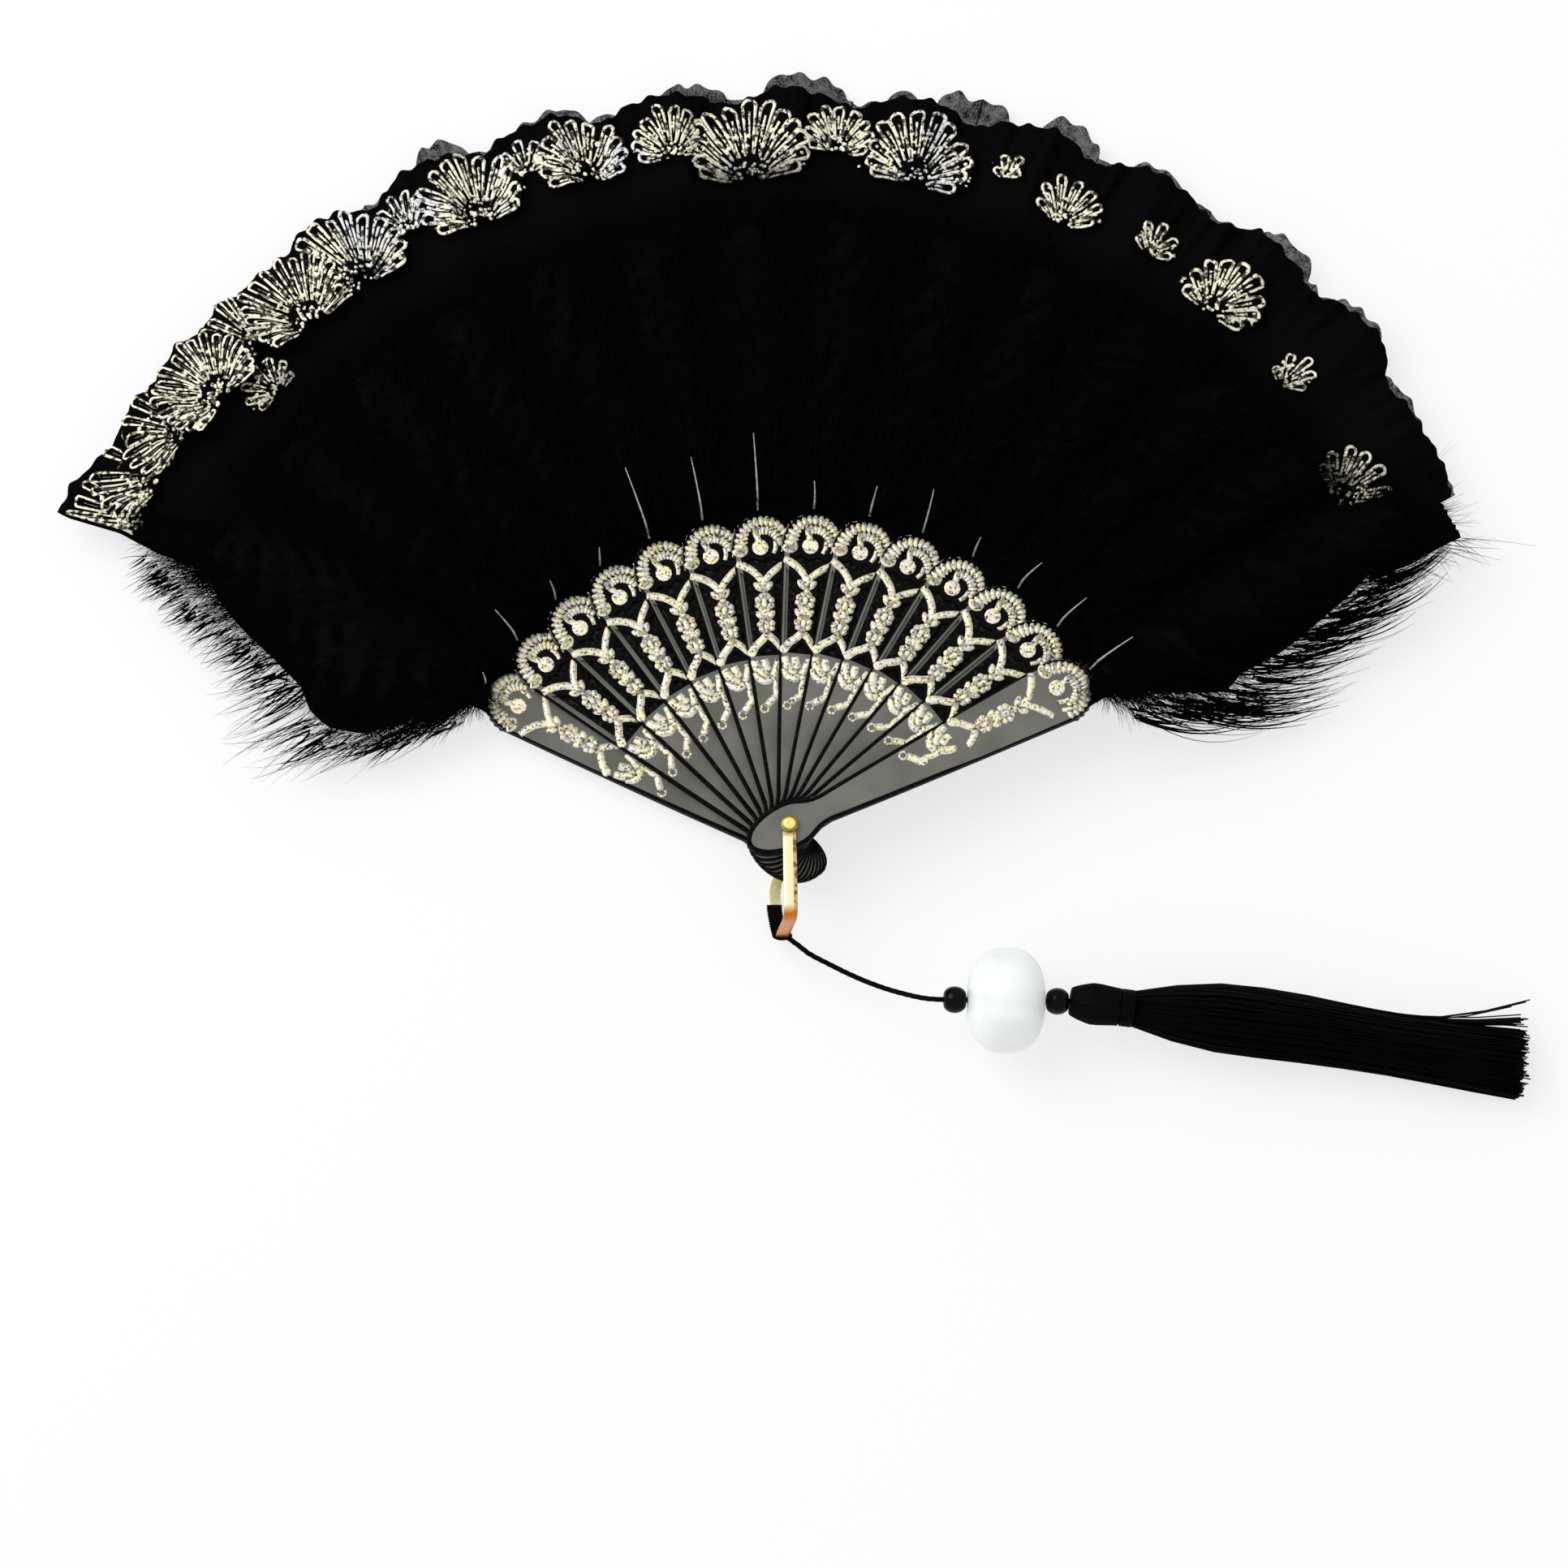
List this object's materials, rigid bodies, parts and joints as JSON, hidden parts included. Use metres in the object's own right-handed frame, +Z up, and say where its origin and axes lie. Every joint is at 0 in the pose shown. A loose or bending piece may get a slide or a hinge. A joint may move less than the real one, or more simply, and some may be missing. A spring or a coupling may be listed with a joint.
{
  "type": "folding feather fan",
  "caption": "Folding hand fan with panelled sticks, a pleated lace leaf, down plumes, a metal bail and a beaded tassel cord, lying open.",
  "frame": {"origin": "on the table, under the middle of the open fan's outline without its cord, beads and tassel", "axes": "+X towards the front guard's side of the open fan, +Y from the pivot towards the leaf, +Z up from the table"},
  "size_m": [0.4193, 0.3082, 0.0322],
  "materials": {
    "stick_plastic": "satin dark grey-olive with pale gold printed scrolls",
    "lace": "black net lace with pale gold metallic thread",
    "down": "deep black down",
    "bail_brass": "polished gold-coloured metal",
    "cord": "black twisted cord",
    "tassel": "black rayon strands",
    "black_bead": "gloss black",
    "clear_bead": "frosted clear white, carved lobes"
  },
  "bodies": {
    "back_guard": {"guard_back": "stick_plastic", "lace_panel_01": "lace", "plume_01": "down", "pivot_pin": "bail_brass"},
    "stick_02": {"stick_02": "stick_plastic", "lace_panel_02": "lace", "plume_02": "down"},
    "stick_03": {"stick_03": "stick_plastic", "lace_panel_03": "lace", "plume_03": "down"},
    "stick_04": {"stick_04": "stick_plastic", "lace_panel_04": "lace", "plume_04": "down"},
    "stick_05": {"stick_05": "stick_plastic", "lace_panel_05": "lace", "plume_05": "down"},
    "stick_06": {"stick_06": "stick_plastic", "lace_panel_06": "lace", "plume_06": "down"},
    "stick_07": {"stick_07": "stick_plastic", "lace_panel_07": "lace", "plume_07": "down"},
    "stick_08": {"stick_08": "stick_plastic", "lace_panel_08": "lace", "plume_08": "down"},
    "stick_09": {"stick_09": "stick_plastic", "lace_panel_09": "lace", "plume_09": "down"},
    "stick_10": {"stick_10": "stick_plastic", "lace_panel_10": "lace", "plume_10": "down"},
    "stick_11": {"stick_11": "stick_plastic", "lace_panel_11": "lace", "plume_11": "down"},
    "stick_12": {"stick_12": "stick_plastic", "lace_panel_12": "lace", "plume_12": "down"},
    "stick_13": {"stick_13": "stick_plastic", "lace_panel_13": "lace", "plume_13": "down"},
    "front_guard": {"guard_front": "stick_plastic", "plume_14": "down"},
    "bail": {"bail": "bail_brass", "cord_loop": "cord", "cord": "cord", "small_bead_near": "black_bead", "big_bead": "clear_bead", "small_bead_far": "black_bead", "tassel_head": "tassel", "tassel_binding": "tassel", "tassel_skirt": "tassel"}
  },
  "joints": [
    {"name": "fold_02", "type": "hinge", "parent": "back_guard", "child": "stick_02", "pos_m": [0.00112, -0.10157, 0.00263], "axis": [0.0486, 0.0681, 0.9965], "range_deg": [0, 9.5], "deforming": ["lace_panel_01", "plume_02", "plume_01"]},
    {"name": "fold_03", "type": "hinge", "parent": "stick_02", "child": "stick_03", "pos_m": [0.00112, -0.10157, 0.00263], "axis": [0.0486, 0.0681, 0.9965], "range_deg": [0, 9.5], "deforming": ["lace_panel_02", "plume_03"]},
    {"name": "fold_04", "type": "hinge", "parent": "stick_03", "child": "stick_04", "pos_m": [0.00112, -0.10157, 0.00263], "axis": [0.0486, 0.0681, 0.9965], "range_deg": [0, 9.5], "deforming": ["lace_panel_03", "plume_04"]},
    {"name": "fold_05", "type": "hinge", "parent": "stick_04", "child": "stick_05", "pos_m": [0.00112, -0.10157, 0.00263], "axis": [0.0486, 0.0681, 0.9965], "range_deg": [0, 9.5], "deforming": ["lace_panel_04", "plume_05"]},
    {"name": "fold_06", "type": "hinge", "parent": "stick_05", "child": "stick_06", "pos_m": [0.00112, -0.10157, 0.00263], "axis": [0.0486, 0.0681, 0.9965], "range_deg": [0, 9.5], "deforming": ["lace_panel_05", "plume_06"]},
    {"name": "fold_07", "type": "hinge", "parent": "stick_06", "child": "stick_07", "pos_m": [0.00112, -0.10157, 0.00263], "axis": [0.0486, 0.0681, 0.9965], "range_deg": [0, 9.5], "deforming": ["lace_panel_06", "plume_07"]},
    {"name": "fold_08", "type": "hinge", "parent": "stick_07", "child": "stick_08", "pos_m": [0.00112, -0.10157, 0.00263], "axis": [0.0486, 0.0681, 0.9965], "range_deg": [0, 9.5], "deforming": ["lace_panel_07", "plume_08"]},
    {"name": "fold_09", "type": "hinge", "parent": "stick_08", "child": "stick_09", "pos_m": [0.00112, -0.10157, 0.00263], "axis": [0.0486, 0.0681, 0.9965], "range_deg": [0, 9.5], "deforming": ["lace_panel_08", "plume_09"]},
    {"name": "fold_10", "type": "hinge", "parent": "stick_09", "child": "stick_10", "pos_m": [0.00112, -0.10157, 0.00263], "axis": [0.0486, 0.0681, 0.9965], "range_deg": [0, 9.5], "deforming": ["lace_panel_09", "plume_10"]},
    {"name": "fold_11", "type": "hinge", "parent": "stick_10", "child": "stick_11", "pos_m": [0.00112, -0.10157, 0.00263], "axis": [0.0486, 0.0681, 0.9965], "range_deg": [0, 9.5], "deforming": ["lace_panel_10", "plume_11"]},
    {"name": "fold_12", "type": "hinge", "parent": "stick_11", "child": "stick_12", "pos_m": [0.00112, -0.10157, 0.00263], "axis": [0.0486, 0.0681, 0.9965], "range_deg": [0, 9.5], "deforming": ["lace_panel_11", "plume_12"]},
    {"name": "fold_13", "type": "hinge", "parent": "stick_12", "child": "stick_13", "pos_m": [0.00112, -0.10157, 0.00263], "axis": [0.0486, 0.0681, 0.9965], "range_deg": [0, 9.5], "deforming": ["lace_panel_12", "plume_13"]},
    {"name": "fold_14", "type": "hinge", "parent": "stick_13", "child": "front_guard", "pos_m": [0.00112, -0.10157, 0.00263], "axis": [0.0486, 0.0681, 0.9965], "range_deg": [0, 9.5], "deforming": ["lace_panel_13", "plume_14"]},
    {"name": "bail_swing", "type": "hinge", "parent": "back_guard", "child": "bail", "pos_m": [0.00112, -0.10157, 0.00263], "axis": [0.0486, 0.0681, 0.9965], "range_deg": [-90, 15]}
  ],
  "couplings": [
    {"joint": "fold_03", "follows": "fold_02", "ratio": 1},
    {"joint": "fold_04", "follows": "fold_02", "ratio": 1},
    {"joint": "fold_05", "follows": "fold_02", "ratio": 1},
    {"joint": "fold_06", "follows": "fold_02", "ratio": 1},
    {"joint": "fold_07", "follows": "fold_02", "ratio": 1},
    {"joint": "fold_08", "follows": "fold_02", "ratio": 1},
    {"joint": "fold_09", "follows": "fold_02", "ratio": 1},
    {"joint": "fold_10", "follows": "fold_02", "ratio": 1},
    {"joint": "fold_11", "follows": "fold_02", "ratio": 1},
    {"joint": "fold_12", "follows": "fold_02", "ratio": 1},
    {"joint": "fold_13", "follows": "fold_02", "ratio": 1},
    {"joint": "fold_14", "follows": "fold_02", "ratio": 1}
  ]
}
